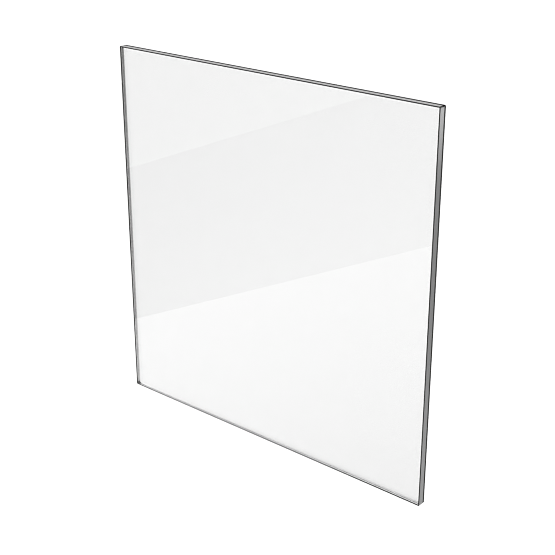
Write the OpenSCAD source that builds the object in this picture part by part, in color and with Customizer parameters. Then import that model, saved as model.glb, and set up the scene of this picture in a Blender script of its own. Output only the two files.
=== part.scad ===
// Clear sneeze guard panel: one square sheet of clear acrylic that stands on edge over a
// buffet counter. All four edges are cut square and polished flat. Every sharp edge line is
// taken off with a shallow chamfer, called an arris, and the four corners are cut by 1 mm.
// Millimetres. +Z is up, the customer's side faces -Y, and the origin is the middle of the
// bottom edge.

/* [Panel] */
// Width of the sheet, along X
panel_w = 450; // [200:10:1200]
// Height of the sheet, along Z
panel_h = 450; // [200:10:1200]
// Thickness of the sheet, along Y
panel_t = 10; // [5:0.5:19]

/* [Edges] */
// How much of each face the arris takes off, measured in from the edge
arris_face = 1.25; // [0.3:0.05:2]
// How much of each cut edge the arris takes off, measured in from the face
arris_edge = 0.4; // [0.1:0.1:2]
// How far each of the four corners is cut back, at 45 degrees
corner_cut = 1; // [0.3:0.1:2]

/* [Hidden] */

acrylic = [0.94, 0.94, 0.94, 0.3];

// A centred rectangle with its four corners cut off: cut_x along its length, cut_y along
// its width
module cut_rectangle(length, width, cut_x, cut_y) {
    x = length / 2;
    y = width / 2;
    polygon([
        [x, y - cut_y], [x - cut_x, y], [cut_x - x, y], [-x, y - cut_y],
        [-x, cut_y - y], [cut_x - x, -y], [x - cut_x, -y], [x, cut_y - y]
    ]);
}

// The rectangle drawn out to a bar of the given depth, centred on the origin
module cut_bar(length, width, depth, cut_x, cut_y) {
    linear_extrude(height = depth, center = true)
        cut_rectangle(length, width, cut_x, cut_y);
}

// The sheet is what three bars share: the upright one has the arrises of the two side
// edges, the one along X has those of the top and bottom, and the one along Y has the
// corner cuts.
module clear_panel() {
    color(acrylic)
    translate([0, 0, panel_h / 2])
    intersection() {
        cut_bar(panel_w, panel_t, panel_h, arris_face, arris_edge);
        rotate([90, 0, 90]) cut_bar(panel_t, panel_h, panel_w, arris_edge, arris_face);
        rotate([90, 0, 0]) cut_bar(panel_w, panel_h, panel_t, corner_cut, corner_cut);
    }
}

clear_panel();
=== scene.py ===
"""Looks of the clear sneeze guard panel: one square acrylic sheet with polished, arrised edges.

The sheet is one closed solid that refracts and mirrors. Its faces, its cut edges and its arrises
each have their own material, and each material has an outside look and an inside look. The inside
look is what shows through the sheet, and its tones are painted light and shade, given in place of
what the sheet's own inner reflections would show. Outside, the arrises' near black is a painted
dark outline, and the cut edges carry painted light and shade along them. Side edges are the upright
ones, and level edges are the top and bottom. Left and right are as the customer's side sees them.
"""

from itertools import product

import bmesh
import bpy
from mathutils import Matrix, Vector


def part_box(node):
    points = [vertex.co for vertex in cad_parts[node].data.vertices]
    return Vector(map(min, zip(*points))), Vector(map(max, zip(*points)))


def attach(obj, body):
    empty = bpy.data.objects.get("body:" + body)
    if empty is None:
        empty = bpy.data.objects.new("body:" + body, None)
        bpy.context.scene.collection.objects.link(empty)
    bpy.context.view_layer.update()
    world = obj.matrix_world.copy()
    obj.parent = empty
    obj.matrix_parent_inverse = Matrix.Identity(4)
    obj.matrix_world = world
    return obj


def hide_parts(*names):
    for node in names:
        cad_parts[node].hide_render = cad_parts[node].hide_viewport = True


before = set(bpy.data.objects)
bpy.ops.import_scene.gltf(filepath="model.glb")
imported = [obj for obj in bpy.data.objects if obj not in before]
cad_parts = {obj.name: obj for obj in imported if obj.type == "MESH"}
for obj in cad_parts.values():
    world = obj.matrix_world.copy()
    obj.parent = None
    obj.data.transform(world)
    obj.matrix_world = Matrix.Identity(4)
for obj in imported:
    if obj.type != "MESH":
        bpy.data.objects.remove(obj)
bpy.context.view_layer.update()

# ---------------------------------------------------------------- sizes, in metres
low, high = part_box("clear_panel")
WIDTH, THICKNESS, HEIGHT = high - low

# What an arris takes off a face and off a cut edge, and how far each corner is cut back
ARRIS_ON_FACE = 0.00125
ARRIS_ON_EDGE = 0.0004
CORNER_CUT = 0.001
# How far below a face two arrises and a corner cut meet in one point
MEETING = ARRIS_ON_EDGE * (1 - CORNER_CUT / 2 / ARRIS_ON_FACE)

# A strip along the back of the side edges and of the top edge has the arris's look beside it, so that
# its painted dark outline runs wider than the arris alone
SIDE_STRIP_START = THICKNESS / 2 - ARRIS_ON_EDGE - 0.0026
TOP_STRIP_START = THICKNESS / 2 - ARRIS_ON_EDGE - 0.0042

# Outside, a face has a plain margin round its gloss. Inside, it has a dark rim of painted shade.
MARGIN = 0.0014
RIM = 0.0007

# Inside, a cut edge is dark with painted shade as far as this from its front arris, then turns clear
# over the blend
INNER_DARK = 0.0043
INNER_BLEND = 0.0005

# Painted shade: cut edges darken from one to the other of these distances from a corner
OFF_CORNER = 0.0025
AT_CORNER = 0.0005
# Painted shade: the back arris is darkest this near to a corner, outside and inside
ARRIS_CORNER = 0.003

# The side edges have an even tone between these two heights, and painted light makes them lighter below
# and above
EVEN_FROM = 0.55 * HEIGHT
EVEN_TO = 0.82 * HEIGHT

# Depth of the bump for the faces' waves, the cut edges' lines and the arrises' grain
WAVE_DEPTH = 0.000002
LINE_DEPTH = 0.000004
GRAIN_DEPTH = 0.00001

# A point this near to a plane lies on it
TOUCH = 0.0001
# The floor is this far under the sheet, so that the two surfaces don't coincide
FLOOR_GAP = 0.00005
FLOOR_SIZE = 60.0

# ---------------------------------------------------------------- optics, tones and noise
ACRYLIC_IOR = 1.49
GLOSS_IOR = 1.5

# Tones go from 0, black, to 1, white or untinted
FACE_TINT = 0.867
# Painted shade on a face's inside rim beside a side edge
SIDE_RIM_SHADE = 0.38
# Painted light and shade: the top edge has its own tone, apart from the side edges'
TOP_EDGE_PAINTED_TONE = 0.208
CORNER_SHADE = 0.45
# Painted shade inside a cut edge, behind its front arris and deeper in
BEHIND_ARRIS_SHADE = 0.012
DEEP_EDGE_SHADE = 0.05
# Painted shade: the arrises' nearly black outline, and the back arris darker still near a corner
ARRIS_SHADE = 0.024
BACK_CORNER_SHADE = 0.002
FLOOR_TONE = 0.435

# How clear the lit inside of an arris is, on a level edge and on a side edge
LEVEL_ARRIS_CLEAR = 0.95
SIDE_ARRIS_CLEAR = 0.45

# Marks per metre along X, Y and Z, and the span that most of their noise falls in
WIPING = (14, 1, 4)
WAVES = (18, 1, 18)
POLISH_LINES = (30, 2500, 30)
GRAIN = (900, 900, 900)
NOISE_SPAN = (0.3, 0.7)

# ---------------------------------------------------------------- the sheet's mesh
FACE, EDGE, ARRIS = range(3)
# A surface looks along an axis when its normal has more than this share of it
ALONG = 0.99
# Surfaces that turn by less than this, in radians, are one flat surface
FLAT_ANGLE = 0.01


def add_corner_points(bm):
    """Four points at each of the eight corners, where the arrises and the corner cuts end."""
    x, y, z = WIDTH / 2, THICKNESS / 2, HEIGHT / 2
    insets = (
        (ARRIS_ON_FACE, 0, ARRIS_ON_FACE),
        (0, ARRIS_ON_EDGE, CORNER_CUT),
        (CORNER_CUT, ARRIS_ON_EDGE, 0),
        (CORNER_CUT / 2, MEETING, CORNER_CUT / 2),
    )
    for side, depth, level in product((-1, 1), repeat=3):
        for dx, dy, dz in insets:
            bm.verts.new((side * (x - dx), depth * (y - dy), z + level * (z - dz)))


def kind_of(surface):
    """FACE, EDGE or ARRIS, by which way the surface looks and how far back it lies."""
    normal = surface.normal
    if abs(normal.y) > ALONG:
        return FACE
    if max(abs(normal.x), abs(normal.z)) <= ALONG:
        return ARRIS
    if normal.z < -ALONG:
        return EDGE
    strip_start = TOP_STRIP_START if normal.z > ALONG else SIDE_STRIP_START
    return EDGE if surface.calc_center_median().y < strip_start else ARRIS


def arrised_sheet(name):
    """The sheet as one closed mesh, with its edges split where the strips of painted dark outline
    start.
    """
    bm = bmesh.new()
    add_corner_points(bm)
    bmesh.ops.convex_hull(bm, input=list(bm.verts))
    bmesh.ops.dissolve_limit(
        bm, angle_limit=FLAT_ANGLE, verts=list(bm.verts), edges=list(bm.edges)
    )
    for strip_start in (SIDE_STRIP_START, TOP_STRIP_START):
        geometry = list(bm.verts) + list(bm.edges) + list(bm.faces)
        bmesh.ops.bisect_plane(bm, geom=geometry, plane_co=(0, strip_start, 0), plane_no=(0, 1, 0))
    bmesh.ops.recalc_face_normals(bm, faces=list(bm.faces))
    bm.normal_update()
    for surface in bm.faces:
        surface.material_index = kind_of(surface)
    mesh = bpy.data.meshes.new(name)
    bm.to_mesh(mesh)
    bm.free()
    piece = bpy.data.objects.new(name, mesh)
    bpy.context.scene.collection.objects.link(piece)
    return piece


# ---------------------------------------------------------------- node helpers
class Tree:
    """Shorthand for making and joining shader nodes. A value is a number or another node's output."""

    def __init__(self, node_tree):
        self.node_tree = node_tree
        self.node_tree.nodes.clear()

    def node(self, kind, **settings):
        made = self.node_tree.nodes.new(kind)
        for key, value in settings.items():
            setattr(made, key, value)
        return made

    def put(self, value, socket):
        if isinstance(value, bpy.types.NodeSocket):
            self.node_tree.links.new(value, socket)
        else:
            socket.default_value = value

    def math(self, operation, *values, clamp=False):
        made = self.node("ShaderNodeMath", operation=operation, use_clamp=clamp)
        for value, socket in zip(values, made.inputs):
            self.put(value, socket)
        return made.outputs[0]

    def times(self, first, *others):
        for other in others:
            first = self.math("MULTIPLY", first, other)
        return first

    def mix(self, factor, at_zero, at_one):
        made = self.node("ShaderNodeMix", data_type="FLOAT")
        for value, index in ((factor, 0), (at_zero, 2), (at_one, 3)):
            self.put(value, made.inputs[index])
        return made.outputs[0]

    def fade(self, value, start, end, low=0.0, high=1.0, kind="LINEAR"):
        """Goes from low to high as the value goes from start to end, and is level outside them."""
        made = self.node("ShaderNodeMapRange", interpolation_type=kind)
        for number, socket in zip((value, start, end, low, high), made.inputs):
            self.put(number, socket)
        return made.outputs[0]

    def smooth(self, value, start, end, low=0.0, high=1.0):
        return self.fade(value, start, end, low, high, kind="SMOOTHSTEP")


def new_material(name):
    material = bpy.data.materials.new(name)
    material.use_nodes = True
    return material, Tree(material.node_tree)


def seen_from_inside(t):
    """1 where the surface is met from inside the sheet, and 0 from outside."""
    return t.node("ShaderNodeNewGeometry").outputs["Backfacing"]


def place_in_sheet(t):
    """The shaded point's place in the sheet: X, Y, and Z above its bottom edge."""
    split = t.node("ShaderNodeSeparateXYZ")
    t.put(t.node("ShaderNodeTexCoord").outputs["Object"], split.inputs[0])
    return split.outputs


def to_borders(t, x, z, inset=0.0):
    """Distances from the nearer side edge and from the nearer level edge, less an inset."""
    off_middle = t.math("ABSOLUTE", t.math("SUBTRACT", z, HEIGHT / 2))
    to_side = t.math("SUBTRACT", WIDTH / 2 - inset, t.math("ABSOLUTE", x))
    to_level = t.math("SUBTRACT", HEIGHT / 2 - inset, off_middle)
    return to_side, to_level


def along_width(t, x, left, right):
    return t.fade(x, -WIDTH / 2, WIDTH / 2, left, right)


def along_height(t, z, foot, head):
    return t.fade(z, 0.0, HEIGHT, foot, head)


def marks(t, scales, detail=3.0):
    """Noise from 0 to 1, with so many marks per metre along X, Y and Z."""
    stretched = t.node("ShaderNodeCombineXYZ")
    for axis, scale, socket in zip(place_in_sheet(t), scales, stretched.inputs):
        t.put(t.math("MULTIPLY", axis, scale), socket)
    noise = t.node("ShaderNodeTexNoise")
    t.put(stretched.outputs[0], noise.inputs["Vector"])
    noise.inputs["Scale"].default_value = 1.0
    noise.inputs["Detail"].default_value = detail
    return noise.outputs["Fac"]


def bump(t, height, depth):
    made = t.node("ShaderNodeBump")
    made.inputs["Strength"].default_value = 1.0
    made.inputs["Distance"].default_value = depth
    t.put(height, made.inputs["Height"])
    return made.outputs[0]


def acrylic_surface(t, base, roughness, clear, relief, gloss=0.0, specular=0.5):
    """Acrylic: its tone, how rough and how clear it is, its bump, and a coat of mirror gloss."""
    shader = t.node("ShaderNodeBsdfPrincipled")
    settings = {
        "Base Color": base,
        "Roughness": roughness,
        "IOR": ACRYLIC_IOR,
        "Normal": relief,
        "Specular IOR Level": specular,
        "Transmission Weight": clear,
        "Coat Weight": gloss,
        "Coat Roughness": 0.0,
        "Coat IOR": GLOSS_IOR,
    }
    for name, value in settings.items():
        t.put(value, shader.inputs[name])
    t.put(shader.outputs[0], t.node("ShaderNodeOutputMaterial").inputs["Surface"])


# ---------------------------------------------------------------- materials of the sheet
def face_material():
    """Clear gloss with a faint wave and faint wiping marks, plain at its margin, and with a dark rim of
    painted shade inside.
    """
    material, t = new_material("clear_acrylic_face")
    x, y, z = place_in_sheet(t)
    inside = seen_from_inside(t)
    to_side, to_level = to_borders(t, x, z, inset=ARRIS_ON_FACE)
    border = t.math("MINIMUM", to_side, to_level)

    within_margin = t.math("GREATER_THAN", border, MARGIN)
    tinted = t.math("MAXIMUM", within_margin, inside)
    gloss = t.times(within_margin, t.math("SUBTRACT", 1.0, inside))

    # Painted shade: the inside rim is dark beside the side edges, and beside the level edges it darkens
    # from left to right
    at_rim = t.times(inside, t.math("LESS_THAN", border, RIM))
    beside_side = t.math("LESS_THAN", to_side, to_level)
    rim_shade = t.mix(beside_side, along_width(t, x, left=1.0, right=0.5), SIDE_RIM_SHADE)
    base = t.mix(at_rim, t.mix(tinted, 1.0, FACE_TINT), rim_shade)

    wiped = t.smooth(marks(t, WIPING), 0.5, 0.8, low=0.0, high=0.03)
    wave = bump(t, marks(t, WAVES, detail=1.0), WAVE_DEPTH)
    acrylic_surface(t, base, wiped, clear=1.0, relief=wave, gloss=gloss)
    return material


def edge_polish_and_painted_light(t, z, polish):
    """Tone of a cut edge from outside, with faint lines along it, and painted light: lighter at the
    head and foot, with the top edge in a tone of its own.
    """
    below = t.smooth(z, EVEN_FROM, 0.0, low=0.185, high=0.25)
    above = t.smooth(z, EVEN_TO, HEIGHT, low=0.0, high=0.19)
    on_top = t.math("GREATER_THAN", z, HEIGHT - TOUCH)
    tone = t.mix(on_top, t.math("ADD", below, above), TOP_EDGE_PAINTED_TONE)
    return t.times(tone, t.smooth(polish, *NOISE_SPAN, low=0.93, high=1.07))


def edge_material():
    """Outside, a satin grey, with painted light at the head and foot and painted shade near the
    corners. Inside, painted shade: dark behind the front arris, and beyond that partly clear by amounts
    that change along the edges.
    """
    material, t = new_material("clear_acrylic_edge")
    x, y, z = place_in_sheet(t)
    inside = seen_from_inside(t)
    to_corner = t.math("MAXIMUM", *to_borders(t, x, z))
    corner_shade = t.smooth(to_corner, AT_CORNER, OFF_CORNER, low=CORNER_SHADE)

    past_arris = t.math("ADD", y, THICKNESS / 2 - ARRIS_ON_EDGE)
    blend_start = INNER_DARK - INNER_BLEND / 2
    blend_end = INNER_DARK + INNER_BLEND / 2
    beyond = t.smooth(past_arris, blend_start, blend_end)
    at_bottom = t.math("LESS_THAN", z, TOUCH)
    # Painted light and shade: inside, the side edges grow less clear towards the head, the bottom edge
    # towards the right, and all of them towards the corners
    side_clear = along_height(t, z, foot=0.58, head=0.26)
    bottom_clear = along_width(t, x, left=0.97, right=0.85)
    clear = t.times(inside, t.mix(at_bottom, side_clear, bottom_clear), beyond, corner_shade)

    polish = marks(t, POLISH_LINES)
    outside_tone = t.times(edge_polish_and_painted_light(t, z, polish), corner_shade)
    inside_shade = t.mix(beyond, BEHIND_ARRIS_SHADE, DEEP_EDGE_SHADE)
    base = t.mix(inside, outside_tone, inside_shade)
    rough = t.smooth(polish, *NOISE_SPAN, low=0.06, high=0.16)
    acrylic_surface(t, base, rough, clear, bump(t, polish, LINE_DEPTH), specular=0.0)
    return material


def arris_material():
    """Outside, nearly black with a fine grain: a painted dark outline. Inside, the back one is lighter
    and partly clear, in painted light that changes along the edges.

    Near a corner the back one is darker still, on both sides, in painted shade.
    """
    material, t = new_material("clear_acrylic_arris")
    x, y, z = place_in_sheet(t)
    inside = seen_from_inside(t)
    to_side, to_level = to_borders(t, x, z)
    at_back = t.math("GREATER_THAN", y, 0.0)
    near_corner = t.math("LESS_THAN", t.math("MAXIMUM", to_side, to_level), ARRIS_CORNER)
    back_corner = t.times(at_back, near_corner)
    lit = t.times(inside, t.math("SUBTRACT", at_back, back_corner))

    on_side = t.math("LESS_THAN", to_side, ARRIS_ON_FACE + TOUCH)
    # Painted light inside the back arris: lighter to the left on a level edge, lighter towards the foot
    # on a side edge, and clearer on a level edge than on a side edge
    level_tone = along_width(t, x, left=0.9, right=0.4)
    side_tone = along_height(t, z, foot=0.3, head=0.1)
    # Painted shade: nearly black, and darker still on the back arris near a corner
    painted_dark = t.mix(back_corner, ARRIS_SHADE, BACK_CORNER_SHADE)
    base = t.mix(lit, painted_dark, t.mix(on_side, level_tone, side_tone))
    clear = t.times(lit, t.mix(on_side, LEVEL_ARRIS_CLEAR, SIDE_ARRIS_CLEAR))

    grain = marks(t, GRAIN)
    rough = t.mix(inside, t.smooth(grain, *NOISE_SPAN, low=0.3, high=0.5), 0.0)
    acrylic_surface(t, base, rough, clear, bump(t, grain, GRAIN_DEPTH), specular=0.0)
    return material


# ---------------------------------------------------------------- floor and light
# The bands in the gloss meet along slanted lines, down = slope * across + height, where across
# and down are how far a direction leans to the side and downward for each metre that it goes
# forward. Each line is its slope and its height.
TOP_LINE = (0.41, 0.0038)
MIDDLE_LINE = (0.476, 0.1474)
LOW_LINE = (0.65, 0.0)
# Strength of the white that the camera sees, and of the sky at the horizon and overhead
SEEN_WHITE = 1.12
SKY_LOW = 0.7
SKY_HIGH = 4.4
# Keeps a direction along the sheet from dividing by zero
LEAST_FORWARD = 0.001


def pale_floor():
    bpy.ops.mesh.primitive_plane_add(size=FLOOR_SIZE, location=(0, 0, -FLOOR_GAP))
    plane = bpy.context.object
    plane.name = "studio_floor"
    material, t = new_material("pale_floor")
    paint = t.node("ShaderNodeBsdfDiffuse")
    paint.inputs["Color"].default_value = (FLOOR_TONE, FLOOR_TONE, FLOOR_TONE, 1)
    t.put(paint.outputs[0], t.node("ShaderNodeOutputMaterial").inputs["Surface"])
    plane.data.materials.append(material)
    plane.visible_glossy = False
    return plane


def past_line(t, across, down, line):
    """How far below a slanted line a direction lies."""
    slope, height = line
    return t.math("SUBTRACT", t.math("SUBTRACT", down, t.times(across, slope)), height)


def studio_bands(t, x, y, z):
    """The slanted bands that the gloss mirrors: a top one, a darker middle one, a bright low one."""
    forward = t.math("MAXIMUM", t.math("ABSOLUTE", y), LEAST_FORWARD)
    across = t.math("DIVIDE", x, y)
    down = t.math("DIVIDE", t.times(z, -1.0), forward)
    past_top = past_line(t, across, down, TOP_LINE)
    past_middle = past_line(t, across, down, MIDDLE_LINE)
    into_low = past_line(t, across, down, LOW_LINE)
    top = t.fade(past_top, -0.13, 0.0, low=0.25, high=0.32)
    middle = t.fade(past_top, 0.0, 0.18, low=0.015, high=0.315)
    fall = t.math("POWER", t.fade(into_low, -0.03, 0.34), 1.4)
    bright = t.fade(fall, 0.0, 1.0, low=0.94, high=0.06)
    upper = t.mix(t.math("GREATER_THAN", past_top, 0.0), top, middle)
    return t.mix(t.math("GREATER_THAN", past_middle, 0.0), upper, bright)


def studio_world():
    """White where the camera sees it, alone or through the sheet; bands in the gloss; a soft sky."""
    world = bpy.data.worlds.new("studio")
    world.use_nodes = True
    bpy.context.scene.world = world
    t = Tree(world.node_tree)
    direction = t.node("ShaderNodeSeparateXYZ")
    t.put(t.node("ShaderNodeTexCoord").outputs["Generated"], direction.inputs[0])
    x, y, z = direction.outputs

    path = t.node("ShaderNodeLightPath").outputs
    unscattered = t.math("LESS_THAN", path["Diffuse Depth"], 0.5)
    through = path["Is Transmission Ray"]
    reflected = t.math("SUBTRACT", path["Is Glossy Ray"], through, clamp=True)
    mirrored = t.times(reflected, unscattered)
    seen = t.math("MAXIMUM", path["Is Camera Ray"], t.times(through, unscattered))

    sky = t.smooth(z, 0.5, 0.9, low=SKY_LOW, high=SKY_HIGH)
    lit = t.mix(mirrored, sky, studio_bands(t, x, y, z))
    background = t.node("ShaderNodeBackground")
    background.inputs["Color"].default_value = (1, 1, 1, 1)
    t.put(t.mix(seen, lit, SEEN_WHITE), background.inputs["Strength"])
    t.put(background.outputs[0], t.node("ShaderNodeOutputWorld").inputs["Surface"])


# ---------------------------------------------------------------- camera
LENS_MM = 76.236
SENSOR_MM = 36.0
CAMERA_PLACE = (0.8181, -0.9456, 0.7291)
CAMERA_VIEW = Vector((-0.59758, 0.70472, -0.38246))
BOUNCES = 96


def three_quarter_camera():
    """A long lens from the front right, a little above the sheet."""
    data = bpy.data.cameras.new("camera")
    data.lens = LENS_MM
    data.sensor_width = SENSOR_MM
    data.clip_start = 0.01
    camera = bpy.data.objects.new("camera", data)
    camera.location = CAMERA_PLACE
    camera.rotation_euler = CAMERA_VIEW.to_track_quat("-Z", "Y").to_euler()
    bpy.context.scene.collection.objects.link(camera)
    bpy.context.scene.camera = camera


def let_light_through():
    """Enough bounces for light that runs round inside the sheet, no softening and true whites."""
    cycles = bpy.context.scene.cycles
    cycles.max_bounces = BOUNCES
    cycles.glossy_bounces = BOUNCES
    cycles.transmission_bounces = BOUNCES
    cycles.blur_glossy = 0.0
    cycles.filter_width = 1.0
    bpy.context.scene.view_settings.view_transform = "Standard"


# ---------------------------------------------------------------- the scene
sheet = arrised_sheet("clear_sheet")
for material in (face_material(), edge_material(), arris_material()):
    sheet.data.materials.append(material)
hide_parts("clear_panel")
# The sheet casts no shadow and throws no light on the floor
sheet.visible_shadow = False
sheet.visible_diffuse = False
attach(sheet, "root")

floor = pale_floor()

studio_world()
three_quarter_camera()
let_light_through()
